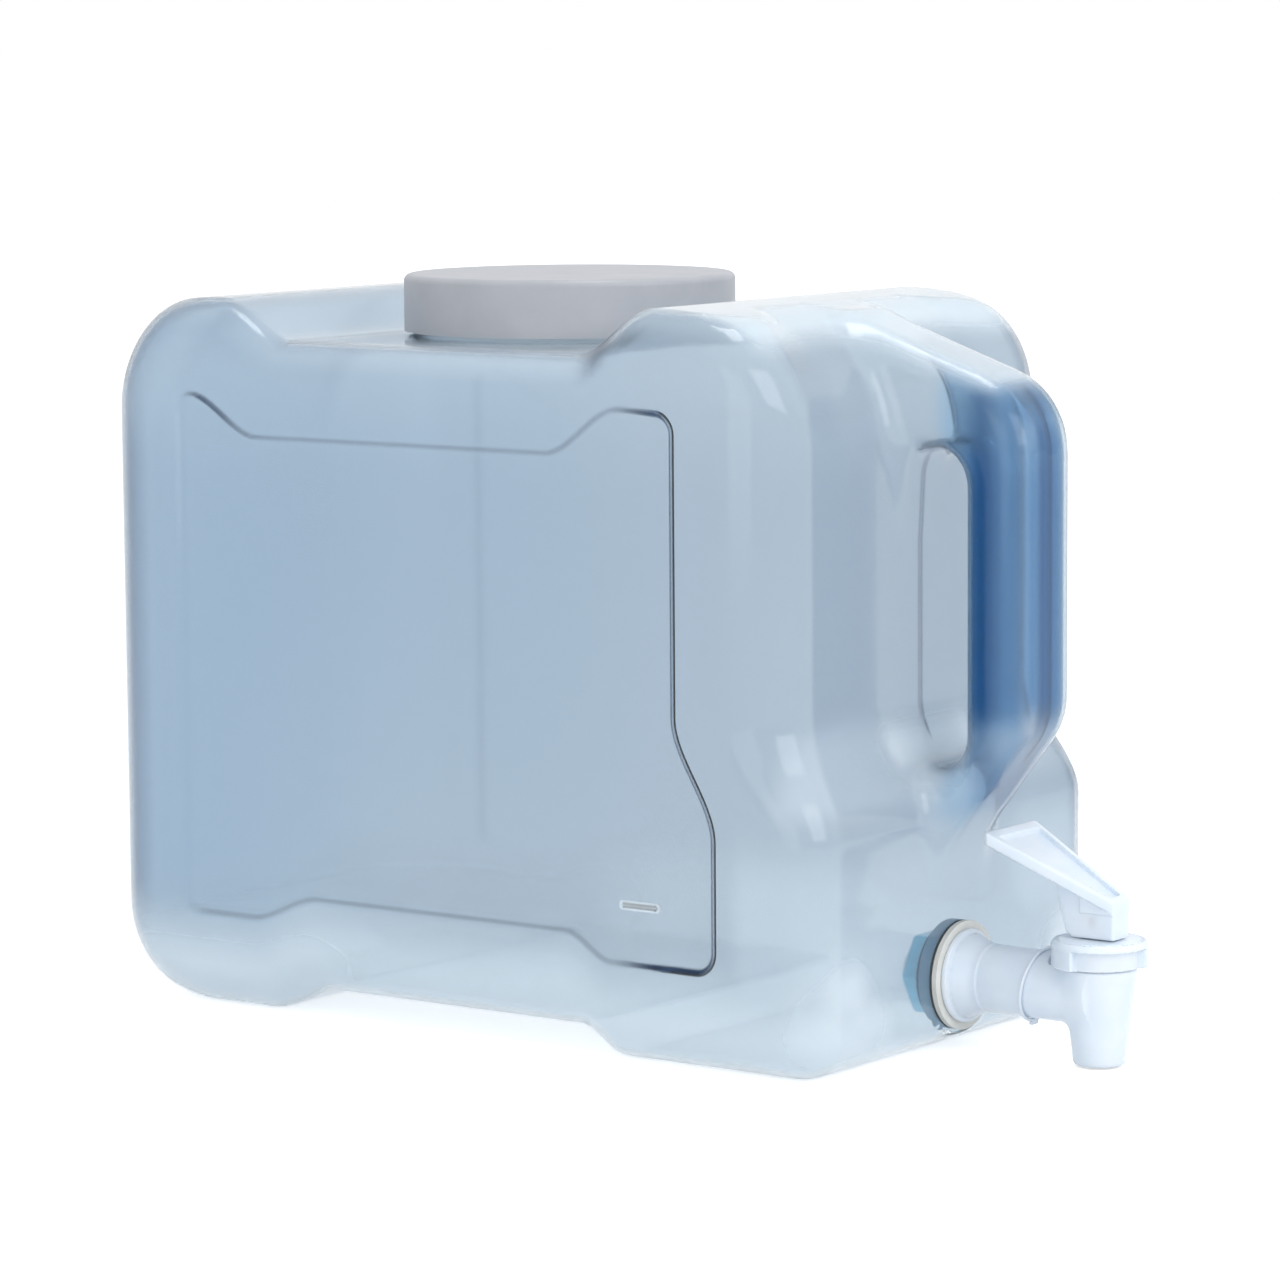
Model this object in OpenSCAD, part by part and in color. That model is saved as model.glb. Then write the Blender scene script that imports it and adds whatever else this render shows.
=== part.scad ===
// Countertop liquid dispenser: blow-moulded bottle with a grip, a wide screw cap and a lever tap.
// +X points to the tap, +Z up. The origin is on the floor, under the middle of the whole dispenser.

/* [Bottle] */
// Length of the bottle between its end faces
body_l = 326; // [316:1:346]
// Width across the two label sides
body_w = 181; // [172:1:195]
// Thickness of the blown wall
wall = 1.6; // [1.2:0.1:2.2]
// Height of the deck that the cap stands on
deck_h = 244; // [236:1:260]
// Rise of the rear shoulder above the deck
rear_rise = 14.7; // [8:0.1:20]
// Rise of the front shoulder above the deck
front_rise = 16.5; // [8:0.5:22]
// Length of the rear shoulder before it drops to the deck
rear_shoulder_l = 61; // [53:1:64]
// Length of the front shoulder before it drops to the deck
front_shoulder_l = 72; // [66:1:84]
// Length of the slope from a shoulder down to the deck
shoulder_ramp = 32; // [24:1:34]
// Droop of the rear shoulder at its end
rear_droop = 10; // [4:0.5:14]
// Length over which the rear shoulder droops
rear_droop_l = 60; // [50:1:70]
// Droop of the front shoulder at its end
front_droop = 12; // [6:0.5:16]
// Length over which the front shoulder droops
front_droop_l = 85; // [76:1:95]
// Distance of the upper front face behind the lower one
setback = 16.5; // [10:0.5:22]
// Height where the front ledge starts
ledge_low = 80; // [70:1:88]
// Height where the front ledge ends
ledge_high = 122; // [114:1:130]

/* [Bottle edges] */
// Upright corner radius at the rear
rear_corner_r = 38; // [32:1:42]
// Upright corner radius at the front, below the ledge
front_corner_r = 16.5; // [12:0.5:20]
// Upright corner radius at the front, above the ledge
upper_corner_r = 25; // [20:1:30]
// Radius of the long top edges
top_edge_r = 12; // [8:0.5:16]
// Radius of the top edge at the rear end
rear_top_r = 48; // [42:1:54]
// Radius of the top edge at the front end
front_top_r = 42; // [36:1:46]
// Radius of the long base edges
base_edge_r = 15; // [10:0.5:18]
// Radius of the base edge at the rear end
rear_base_r = 46; // [40:1:51]
// Radius of the base edge at the front end
front_base_r = 14; // [10:0.5:18]

/* [Feet] */
// Height of the arch between the two feet
arch_h = 9.3; // [6:0.1:12]
// Length of the rear foot
rear_foot_l = 78.5; // [70:0.5:86]
// Length of the front foot
front_foot_l = 85.5; // [78:0.5:94]
// Length of the slope at the rear end of the arch
arch_rear_ramp = 31; // [22:1:36]
// Length of the slope at the front end of the arch
arch_front_ramp = 20; // [14:1:30]

/* [Label panels] */
// Depth of each label panel
panel_depth = 1.6; // [0.8:0.1:2.4]
// Margin from the panel up to the top of the bottle
panel_top_gap = 34.5; // [28:0.5:40]
// Margin from the panel down to the base
panel_base_gap = 35.3; // [28:0.5:42]
// Margin from the panel to the front face
panel_front_gap = 43; // [34:0.5:50]
// Margin from the panel to the rear face
panel_rear_gap = 47; // [40:0.5:54]
// Length of the raised level mark
tick_l = 15; // [8:1:24]
// Height of the level mark above the floor
tick_h = 55.5; // [50:0.5:90]

/* [Grip] */
// Distance of the grip's outer face ahead of the lower front face
grip_reach = 36; // [31:0.5:42]
// Width of the grip across the bottle
grip_w = 38; // [30:0.5:46]
// Finger gap between the bottle and the grip
finger_gap = 26; // [22:0.5:30]
// Height of the top of the finger slot
slot_top = 210.6; // [204:0.2:214]
// Corner radius at the top of the finger slot
slot_r = 13; // [10:0.5:13]
// Rounding of the grip's edges
grip_edge_r = 11; // [6:0.5:13]

/* [Neck and cap] */
// Distance of the neck's axis from the rear face
neck_from_rear = 158; // [155:0.5:161]
// Gap between the neck and the cap's skirt
neck_gap = 3.1; // [2:0.1:6]
// Wall of the neck
neck_wall = 2.2; // [1.6:0.1:3]
// Outer diameter of the cap
cap_d = 120; // [118:0.5:124]
// Height of the cap
cap_h = 20.5; // [16:0.5:24]
// Wall of the cap
cap_wall = 2.4; // [1.8:0.1:2.8]
// Rounding of the cap's top edge
cap_edge_r = 2.5; // [1.5:0.1:3.5]
// Gap between the cap's skirt and the deck
cap_gap = 2.1; // [1:0.1:4]
// Thickness of the sealing disc in the cap
liner_t = 1.5; // [1:0.1:2.5]

/* [Tap] */
// Height of the tap's shank above the floor
tap_z = 25.9; // [25:0.1:30]
// Distance from the bottle to the axis of the tap's barrel
tap_reach = 56; // [52:0.5:62]
// Diameter of the seals on both sides of the wall
seal_d = 38.2; // [34:0.1:39]
// Thickness of the outer seal
washer_t = 1.8; // [1.2:0.1:3]
// Thickness of the inner seal
gasket_t = 4.5; // [2.5:0.1:6]
// Diameter of the threaded shank
shank_d = 17.8; // [16:0.1:20]
// Diameter of the flange that presses on the outer seal
flange_d = 33; // [30:0.5:36]
// Thickness of that flange
flange_t = 2.2; // [1.6:0.1:3]
// Outer diameter of the tube
tube_d = 24; // [22:0.5:25]
// Diameter of the passage through the shank and tube
passage_d = 10.4; // [8:0.1:10.6]
// Width of the lock nut across its flats
nut_af = 27; // [24:0.5:30]
// Thickness of the lock nut
nut_t = 9.5; // [7:0.5:12]
// Length of shank beyond the lock nut
shank_tail = 4; // [2:0.5:8]

/* [Valve] */
// Diameter of the barrel under the bonnet
barrel_top_d = 26.2; // [25.8:0.1:27]
// Diameter of the barrel at the spout
barrel_end_d = 17.8; // [17:0.1:19]
// Height of the spout above the floor
spout_z = 0.5; // [0.4:0.1:3]
// Height where the bonnet meets the barrel
bonnet_z = 34.7; // [34:0.1:36]
// Height of the bonnet
bonnet_h = 9.6; // [9.2:0.1:12]
// Outer diameter of the bonnet
bonnet_d = 33.6; // [32:0.1:35]
// Diameter of the bonnet's skirt between its two grips
skirt_d = 27.8; // [27.6:0.1:29]
// Diameter of the spout's bore
spout_bore_d = 14; // [12:0.1:14.4]
// Height where the spout's bore ends and the throat begins
throat_z = 12; // [10:0.2:13]
// Diameter of the throat below the valve seat
throat_d = 10.4; // [9:0.1:11]
// Diameter of the valve stem
stem_d = 5.6; // [5:0.1:6]
// Wire diameter of the return spring
wire_d = 1; // [0.8:0.05:1.1]
// Turns of the return spring
spring_turns = 6; // [4:1:8]

/* [Lever] */
// Width of the lever's stem block
block_w = 11.6; // [10:0.2:14]
// Length of the lever's stem block at its top
block_l = 23; // [20:0.5:25]
// Width of the paddle at its free end
paddle_w = 34; // [26:0.5:38]
// Length of the paddle along the tap
paddle_l = 45; // [38:0.5:48]
// Rise of the paddle from the block to its free end
paddle_rise = 22; // [16:0.5:26]
// Thickness of the paddle
paddle_t = 4.6; // [3.6:0.1:6]
// Depth of the thumb recess in the paddle
recess_depth = 2; // [1:0.1:3]
// Height of the lever's pin above the bonnet
pin_rise = 6.2; // [5:0.1:7]
// Diameter of the lever's pin
pin_d = 3; // [2.4:0.1:3.4]

/* [Fits] */
// Clearance between parts that only lie against each other
seat_gap = 0.3; // [0.1:0.05:0.4]
// Radial clearance of a shaft that turns or slides in its hole
running_gap = 0.08; // [0.03:0.01:0.1]

/* [Hidden] */
$fn = 64;

// Overall length, from the rear face to the front of the bonnet
overall_l = body_l + tap_reach + bonnet_d / 2;
x_rear = -overall_l / 2;
x_front = x_rear + body_l;
x_upper = x_front - setback;
neck_x = x_rear + neck_from_rear;
neck_d = cap_d - 2 * cap_wall - 2 * neck_gap;
valve_x = x_front + tap_reach;
half_w = body_w / 2;

// Heights of the cap, its liner and the mouth under it
cap_base_z = deck_h + cap_gap;
cap_top_z = cap_base_z + cap_h;
liner_z = cap_top_z - cap_wall - liner_t - seat_gap / 2;
mouth_z = liner_z - seat_gap / 2;

// Stations along the bottle where its top and base change height
top_ramp_1 = x_rear + rear_shoulder_l;
top_ramp_2 = x_front - front_shoulder_l - shoulder_ramp;
arch_ramp_1 = x_rear + rear_foot_l;
arch_ramp_2 = x_front - front_foot_l - arch_front_ramp;

// Points along the shaped stretches of the bottle's rings
ramp_steps = 8;
corner_steps = 5;
edge_steps = 6;
ledge_steps = 6;
tight_r = 4;

function ease(t) = let (c = min(max(t, 0), 1)) c * c * (3 - 2 * c);
function ramp(x, from, length) = ease((x - from) / length);
function share(x, length) = pow(min(max(x / length, 0), 1), 2);

// Height of the top and of the base at a place along the bottle
function top_z(x) = deck_h + rear_rise * (1 - ramp(x, top_ramp_1, shoulder_ramp))
    + front_rise * ramp(x, top_ramp_2, shoulder_ramp)
    - rear_droop * share(x_rear + rear_droop_l - x, rear_droop_l)
    - front_droop * share(x - x_front + front_droop_l, front_droop_l);
function base_z(x) = arch_h * (ramp(x, arch_ramp_1, arch_rear_ramp)
    - ramp(x, arch_ramp_2, arch_front_ramp));

// Place of the front face and radius of its corners at a height: the lower part stands ahead
function front_at(z) = x_front - setback * ramp(z, ledge_low, ledge_high - ledge_low);
function corner_at(z) = front_corner_r
    + (upper_corner_r - front_corner_r) * ramp(z, ledge_low, ledge_high - ledge_low);

// Edge radius at a point of a ring, from the way its outline faces there (-1 rear, 1 front)
function edge_r(side, rear, front, facing) =
    side + ((facing < 0 ? rear : front) - side) * abs(facing);

// Places along the long sides where a ring has a point: close together on the slopes
first_slope = min(top_ramp_1, arch_ramp_1);
first_slope_end = max(top_ramp_1 + shoulder_ramp, arch_ramp_1 + arch_rear_ramp);
last_slope = min(top_ramp_2, arch_ramp_2);
last_slope_end = max(top_ramp_2 + shoulder_ramp, arch_ramp_2 + arch_front_ramp);
function spread(a, b, n) = [for (i = [0 : n]) a + (b - a) * i / n];
side_stations = concat(spread(first_slope, first_slope_end, ramp_steps),
    [(first_slope_end + last_slope) / 2], spread(last_slope, last_slope_end, ramp_steps));

// One ring of the bottle in plan as [x, y, facing], from the rear centre round the -Y side
function half_ring(xr, xf, w, rr, rf) = concat(
    [[xr, 0, -1]],
    [for (i = [0 : corner_steps]) let (a = 180 + 90 * i / corner_steps)
        [xr + rr + rr * cos(a), rr - w + rr * sin(a), cos(a)]],
    [for (x = side_stations) [x, -w, 0]],
    [for (i = [0 : corner_steps]) let (a = 270 + 90 * i / corner_steps)
        [xf - rf + rf * cos(a), rf - w + rf * sin(a), cos(a)]],
    [[xf, 0, 1]]);
function mirrored(half) =
    concat(half, [for (i = [len(half) - 2 : -1 : 1]) [half[i][0], -half[i][1], half[i][2]]]);

// A ring of the bottle's skin, moved in by g. Angle a rolls it round the base edge (0 flat, 90 up),
// angle b rolls it over the top edge (0 up, 90 flat), and a level puts it at one height on the wall.
function base_height(x, facing, g, a) = base_z(x) + g
    + (edge_r(base_edge_r, rear_base_r, front_base_r, facing) - g) * (1 - cos(a));
function top_height(x, facing, g, b) = top_z(x) - g
    - (edge_r(top_edge_r, rear_top_r, front_top_r, facing) - g) * (1 - sin(b));
function skin_ring(g, a, b, level) =
    let (on_wall = !is_undef(level))
    let (top = a == 90)
    let (under = 1 - sin(a))
    let (over = 1 - cos(b))
    let (in_side = (base_edge_r - g) * under + (top_edge_r - g) * over)
    let (in_rear = (rear_base_r - g) * under + (rear_top_r - g) * over)
    let (in_front = (front_base_r - g) * under + (front_top_r - g) * over)
    let (front_z = on_wall ? level : top ? top_height(x_front, 1, g, b) : base_height(x_front, 1, g, a))
    let (rr = max(rear_corner_r - g - in_rear, tight_r))
    let (rf = max(corner_at(front_z) - g - in_front, tight_r))
    let (half = half_ring(x_rear + g + in_rear, front_at(front_z) - g - in_front,
        half_w - g - in_side, rr, rf))
    [for (p = mirrored(half)) [p[0], p[1],
        on_wall ? level : top ? top_height(p[0], p[2], g, b) : base_height(p[0], p[2], g, a)]];

function skin_rings(g) = concat(
    [for (i = [0 : edge_steps - 1]) skin_ring(g, 89.9 * i / (edge_steps - 1), 0)],
    [for (z = spread(ledge_low, ledge_high, ledge_steps)) skin_ring(g, 90, 0, z)],
    [for (i = [0 : edge_steps]) skin_ring(g, 90, 90 * i / edge_steps)]);

// Faces that join rings of n points, lowest ring first, without the ends
function wall_faces(rings, n) = [for (k = [0 : rings - 2]) for (i = [0 : n - 1])
    let (j = (i + 1) % n)
    each [[k * n + i, (k + 1) * n + i, k * n + j], [k * n + j, (k + 1) * n + i, (k + 1) * n + j]]];

// Faces that close a ring across the bottle, point by point with its mirror image
function deck_faces(at, n) = [for (i = [0 : n / 2 - 1])
    let (p = at + i)
    let (q = at + i + 1)
    let (r = at + n - i - 1)
    let (s = at + (n - i) % n)
    each i == 0 ? [[p, r, q]] : i == n / 2 - 1 ? [[p, s, q]] : [[p, s, q], [q, s, r]]];
function flipped(faces) = [for (f = faces) [f[0], f[2], f[1]]];

// Closed form of the bottle without its grip, moved in by g
module body_form(g) {
    rings = skin_rings(g);
    n = len(rings[0]);
    polyhedron(points = [for (r = rings) each r],
        faces = concat(wall_faces(len(rings), n), flipped(deck_faces(0, n)),
            deck_faces((len(rings) - 1) * n, n)));
}

// Grip: its outer line and its finger-slot line, each with round corners, seen from the side
grip_x = x_front + grip_reach;
grip_inner_x = x_upper + finger_gap;
grip_steps = 5;
grip_bite = 0.4;
slot_base = 104;
ridge_start = [x_upper - 23, deck_h + front_rise - 4];
ridge_slope = 0.346;
ridge_corner = [grip_x, ridge_start[1] - ridge_slope * (grip_x - ridge_start[0])];
heel_corner = [grip_x, slot_base + 12.4];
outer_line = [[x_upper - 45, ridge_start[1] - 9], ridge_start, ridge_corner, heel_corner,
    [x_front - 4.5, 63.6]];
outer_radii = [6, 30, 25];
inner_line = [[x_upper - 5, slot_top - 26], [x_upper - grip_bite, slot_top],
    [grip_inner_x, slot_top], [grip_inner_x, slot_base], [x_upper + 5, slot_base - 8]];
inner_radii = [slot_r, slot_r, 12];

function unit(v) = v / norm(v);
function turned(v, a) = [v[0] * cos(a) - v[1] * sin(a), v[0] * sin(a) + v[1] * cos(a)];
// Points of the arc of radius r that rounds corner b of the line a-b-c
function arc_at(a, b, c, r) =
    let (u = unit(b - a))
    let (v = unit(c - b))
    let (turn = acos(u * v) * sign(u[0] * v[1] - u[1] * v[0]))
    let (start = b - u * r * tan(abs(turn) / 2))
    let (centre = start + turned(u, 90 * sign(turn)) * r)
    [for (i = [0 : grip_steps]) centre + turned(start - centre, turn * i / grip_steps)];
function round_line(points, radii) = concat([points[0]],
    [for (i = [1 : len(points) - 2]) each arc_at(points[i - 1], points[i], points[i + 1], radii[i - 1])],
    [points[len(points) - 1]]);

// One rounded cross-section of the grip between its outer point o and its slot point q
section_steps = 3;
function grip_ring(o, q, g) =
    let (along = unit(o - q))
    let (mid = (o + q) / 2)
    let (depth = norm(o - q) / 2 - g)
    let (width = grip_w / 2 - g)
    let (r = min(grip_edge_r - g, depth - 1))
    [for (side = [0 : 3]) for (i = [0 : section_steps])
        let (a = 90 * side + 90 * i / section_steps)
        let (d = (side == 0 || side == 3 ? depth - r : r - depth) + r * cos(a))
        let (w = (side < 2 ? width - r : r - width) + r * sin(a))
        [mid[0] + along[0] * d, -w, mid[1] + along[1] * d]];

// Closed form of the grip, moved in by g
module grip_form(g) {
    outer = round_line(outer_line, outer_radii);
    inner = round_line(inner_line, inner_radii);
    rings = [for (i = [0 : len(outer) - 1]) grip_ring(outer[i], inner[i], g)];
    n = len(rings[0]);
    last = (len(rings) - 1) * n;
    polyhedron(points = [for (r = rings) each r],
        faces = concat(wall_faces(len(rings), n), [[for (i = [0 : n - 1]) i]],
            [[for (i = [n - 1 : -1 : 0]) last + i]]));
}

// Outline of a label panel in side view, grown by g: it keeps its margins to the bottle's outline
panel_steps = 14;
panel_lead = 9;
function panel_outline(g) =
    let (left = x_rear + panel_rear_gap - g)
    let (low = panel_base_gap - g)
    let (right_low = x_front - panel_front_gap + g)
    let (right_high = x_upper - panel_front_gap + g)
    concat([for (x = spread(left, right_low, panel_steps * 2)) [x, base_z(x) + low]],
        [for (z = spread(ledge_low, ledge_high, panel_steps)) [front_at(z) - panel_front_gap + g, z]],
        [for (x = spread(right_high, left, panel_steps * 2)) [x, top_z(x + panel_lead) - panel_top_gap + g]]);

// What a label panel takes from the skin that lies g inside the outer one
module panel_cut(side, g) {
    face_y = half_w - g - panel_depth;
    translate([0, side * (face_y + half_w), 0])
        rotate([90, 0, 0]) linear_extrude(body_w, center = true) polygon(panel_outline(g));
}

// Closed skin of bottle and grip with its label panels, moved in by g
module skin(g) {
    difference() {
        union() {
            body_form(g);
            grip_form(g);
        }
        for (side = [-1, 1]) panel_cut(side, g);
    }
}

// The blown shell, open at the mouth; its free edge is trimmed later by the bore of the neck
mouth_r = neck_d / 2 - neck_wall;
mouth_trim = 1;
module shell() {
    resize([0, 0, 0]) difference() {
        skin(0);
        skin(wall);
        translate([neck_x, 0, deck_h - 2 * wall]) cylinder(r = mouth_r - mouth_trim, h = 3 * wall);
    }
}

// Places a revolved shape on the tap's shank axis, its own +Z along +X
module on_shank(x) translate([x, 0, tap_z]) rotate([0, 90, 0]) children();

// Disc of radius r and height h with a rounded top edge
module rounded_disc(r, h, edge) {
    rotate_extrude() {
        square([r, h - edge]);
        square([r - edge, h]);
        translate([r - edge, h - edge]) circle(edge);
    }
}

shank_r = shank_d / 2;
hole_r = shank_r + seat_gap;
seal_r = seal_d / 2;
pad_depth = 7;
pad_r = seal_r + 2 * seat_gap;
tick_w = 1.4;
tick_out = 0.6;
tick_sink = 0.6;
tick_x = x_front - 74;

module bottle() {
    color([0.62, 0.76, 0.9, 0.6]) difference() {
        union() {
            shell();
            translate([neck_x, 0, deck_h - wall]) cylinder(r = neck_d / 2, h = mouth_z - deck_h + wall);
            on_shank(x_front - pad_depth - wall) cylinder(r = pad_r + wall, h = pad_depth + wall);
            translate([tick_x - tick_l / 2, panel_depth - half_w - tick_out, tick_h - tick_w / 2])
                cube([tick_l, tick_out + tick_sink, tick_w]);
        }
        translate([neck_x, 0, deck_h - 3 * wall])
            cylinder(r = mouth_r, h = mouth_z - deck_h + 4 * wall);
        on_shank(x_front - 2 * pad_depth) cylinder(r = pad_r, h = 2 * pad_depth - wall);
        on_shank(x_front - 2 * wall) cylinder(r = hole_r, h = 3 * wall);
    }
}

module cap() {
    color([0.8, 0.8, 0.83]) translate([neck_x, 0, cap_base_z]) difference() {
        rounded_disc(cap_d / 2, cap_h, cap_edge_r);
        translate([0, 0, -1]) cylinder(r = cap_d / 2 - cap_wall, h = cap_h - cap_wall + 1);
    }
}

module cap_liner() {
    color([0.95, 0.95, 0.93]) translate([neck_x, 0, liner_z])
        cylinder(r = cap_d / 2 - cap_wall - seat_gap, h = liner_t);
}

// Places along the shank, from the bottle's wall outwards and inwards
washer_x = x_front;
flange_x = washer_x + washer_t;
gasket_x = x_front - wall - gasket_t;
nut_x = gasket_x - nut_t;
shank_end_x = nut_x - shank_tail;
tube_r = tube_d / 2;
flange_r = flange_d / 2;
trumpet_r = flange_r - tube_r;
trumpet_l = 9;
chamber_z = 17;
seat_z = 15;
chamber_low_r = 8.6;
chamber_r = 10.6;
spigot_r = 12.1;
rim_t = 1.7;
plate_t = 2.8;
plate_z = bonnet_z + bonnet_h - plate_t;
rim_z = plate_z - rim_t;
bonnet_top_z = bonnet_z + bonnet_h;

module tap_body() {
    color([0.9, 0.93, 0.97]) difference() {
        union() {
            on_shank(shank_end_x) cylinder(r = shank_r, h = flange_x - shank_end_x);
            on_shank(flange_x) cylinder(r = flange_r, h = flange_t);
            on_shank(flange_x + flange_t) rotate_extrude() difference() {
                square([flange_r, trumpet_r]);
                translate([flange_r, trumpet_r]) circle(trumpet_r);
            }
            on_shank(flange_x + flange_t) cylinder(r1 = tube_r + 1.6, r2 = tube_r, h = trumpet_l);
            difference() {
                on_shank(flange_x) cylinder(r = tube_r, h = valve_x - flange_x);
                translate([valve_x, 0, bonnet_z])
                    cylinder(r = bonnet_d / 2 + 2 * seat_gap, h = tube_r);
            }
            translate([valve_x, 0, spout_z])
                cylinder(r1 = barrel_end_d / 2, r2 = barrel_top_d / 2, h = bonnet_z - spout_z);
            translate([valve_x, 0, bonnet_z]) cylinder(r = spigot_r, h = rim_z - bonnet_z);
        }
        on_shank(shank_end_x - 1) cylinder(r = passage_d / 2, h = valve_x - shank_end_x + 1);
        translate([valve_x, 0, 0]) {
            translate([0, 0, bonnet_z]) cylinder(r = chamber_r, h = plate_z - bonnet_z);
            translate([0, 0, chamber_z])
                cylinder(r1 = chamber_low_r, r2 = chamber_r, h = bonnet_z - chamber_z);
            translate([0, 0, seat_z])
                cylinder(r1 = throat_d / 2, r2 = chamber_low_r, h = chamber_z - seat_z);
            cylinder(r = throat_d / 2, h = seat_z);
            cylinder(r = spout_bore_d / 2, h = throat_z);
        }
    }
}

module seal_ring(x, t) {
    on_shank(x) difference() {
        cylinder(r = seal_r, h = t);
        translate([0, 0, -1]) cylinder(r = hole_r, h = t + 2);
    }
}

module tap_washer() color([0.93, 0.92, 0.88]) seal_ring(washer_x, washer_t);

module tap_gasket() color([0.5, 0.58, 0.64]) seal_ring(gasket_x, gasket_t);

nut_flange_t = 2.5;
module lock_nut() {
    color([0.88, 0.9, 0.94]) on_shank(nut_x) difference() {
        union() {
            cylinder(r = nut_af / 2 / cos(30), h = nut_t, $fn = 6);
            translate([0, 0, nut_t - nut_flange_t]) cylinder(r = nut_af / 2 / cos(30) + 1.5, h = nut_flange_t);
        }
        translate([0, 0, -1]) cylinder(r = shank_r + running_gap, h = nut_t + 2);
    }
}

// Snap ring that leans back on the tube, with a pull tab below
ring_lean = 11;
ring_wire_r = 0.6;
ring_r = (tube_r + ring_wire_r + 0.1) / cos(ring_lean);
ring_x = flange_x + 30.5;
module collar_ring() {
    color([0.97, 0.98, 1]) translate([ring_x, 0, tap_z]) rotate([0, 90 + ring_lean, 0]) {
        rotate_extrude() translate([ring_r, 0]) circle(ring_wire_r);
        translate([ring_r, -2, -ring_wire_r]) cube([1.6, 4, 2 * ring_wire_r]);
    }
}

// Bonnet: a rounded rim over a skirt with two broad grips, a quarter of the way round each
bonnet_rim_h = 2.7;
bonnet_edge_r = 2.2;
grip_arc = 70;
grip_turn = 50;
bonnet_inset = 0.2;
module bonnet() {
    color([0.9, 0.93, 0.97]) translate([valve_x, 0, bonnet_z]) difference() {
        union() {
            cylinder(r = skirt_d / 2, h = bonnet_h - bonnet_edge_r);
            translate([0, 0, bonnet_h - bonnet_rim_h])
                rounded_disc(bonnet_d / 2, bonnet_rim_h, bonnet_edge_r);
            for (side = [0, 1]) rotate([0, 0, 180 * side + grip_turn - grip_arc / 2])
                rotate_extrude(angle = grip_arc)
                    square([bonnet_d / 2 - bonnet_inset, bonnet_h - bonnet_edge_r]);
        }
        translate([0, 0, -1]) cylinder(r = spigot_r + seat_gap, h = plate_z - bonnet_z + 1);
        cylinder(r = stem_d / 2 + running_gap, h = bonnet_h + 1);
    }
}

// Lever: a block on the stem's pin, and a paddle that widens towards the bottle
pin_z = bonnet_top_z + pin_rise;
block_front = valve_x + 8.5;
block_rear = block_front - block_l;
block_base = bonnet_top_z + 0.4;
block_h = 18;
block_lean = 0.24;
heel_x = block_rear + block_lean * block_h;
heel_cut = 2;
paddle_front_z = bonnet_top_z + 14;
recess_rim = 3.4;
stem_flat = 4.4;
fork_gap = 0.35;
fork_run = 3.4;
blank_h = 60;

// Paddle seen from above, moved in by g, its front edge at x = 0
module paddle_plan(g) polygon([[g - paddle_l, g - paddle_w / 2], [-g, 0.3 * g - block_w / 2],
    [-g, block_w / 2 - 0.3 * g], [g - paddle_l, paddle_w / 2 - g]]);

// What lies under the sloping paddle line that runs through the block's front top
module under_paddle(drop) {
    translate([block_front, 0, paddle_front_z - drop]) rotate([90, 0, 0])
        linear_extrude(2 * paddle_w, center = true)
            polygon([[1, -blank_h], [1, -paddle_rise / paddle_l],
                [-paddle_l - 1, paddle_rise * (1 + 1 / paddle_l)], [-paddle_l - 1, -blank_h]]);
}

module lever() {
    color([0.9, 0.94, 0.98]) difference() {
        union() {
            intersection() {
                translate([0, block_w / 2, 0]) rotate([90, 0, 0]) linear_extrude(block_w)
                    polygon([[heel_x + heel_cut, block_base], [block_front, block_base],
                        [block_front, block_base + blank_h],
                        [heel_x - block_lean * blank_h, block_base + blank_h],
                        [heel_x - block_lean * heel_cut, block_base + heel_cut]]);
                under_paddle(0.5);
            }
            intersection() {
                translate([block_front, 0, 0]) linear_extrude(pin_z + blank_h) paddle_plan(0);
                difference() {
                    under_paddle(0);
                    under_paddle(paddle_t);
                }
            }
        }
        difference() {
            translate([block_front, 0, 0]) linear_extrude(pin_z + blank_h) paddle_plan(recess_rim);
            under_paddle(recess_depth);
        }
        translate([valve_x - stem_d / 2 - fork_run, -stem_flat / 2 - fork_gap, 0])
            cube([stem_d + 2 * fork_run, stem_flat + 2 * fork_gap, pin_z + stem_d / 2 + 1.2]);
        translate([valve_x, 0, pin_z]) rotate([90, 0, 0])
            cylinder(r = pin_d / 2 + 0.02, h = block_w + 2, center = true);
    }
}

module lever_pin() {
    color([0.8, 0.82, 0.84]) translate([valve_x, 0, pin_z]) rotate([90, 0, 0])
        cylinder(r = pin_d / 2, h = block_w, center = true);
}

// Stem: a foot in the seat cup, a rod through the bonnet and a flat eye on the pin
plug_z = seat_z + seat_gap;
plug_t = 4;
plug_r = 6.2;
foot_z = plug_z + plug_t + seat_gap;
foot_t = 3;
foot_r = 4.9;
flat_z = bonnet_top_z - 1.2;
module valve_stem() {
    color([0.85, 0.88, 0.92]) translate([valve_x, 0, 0]) difference() {
        union() {
            translate([0, 0, foot_z]) cylinder(r = foot_r, h = foot_t);
            translate([0, 0, foot_z]) cylinder(r = stem_d / 2, h = pin_z + stem_d / 2 - foot_z);
        }
        for (side = [-1, 1]) translate([0, side * (stem_flat / 2 + stem_d), flat_z + blank_h / 2])
            cube([2 * stem_d, 2 * stem_d, blank_h], center = true);
        translate([0, 0, pin_z]) rotate([90, 0, 0])
            cylinder(r = pin_d / 2 + running_gap, h = stem_d + 2, center = true);
    }
}

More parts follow.
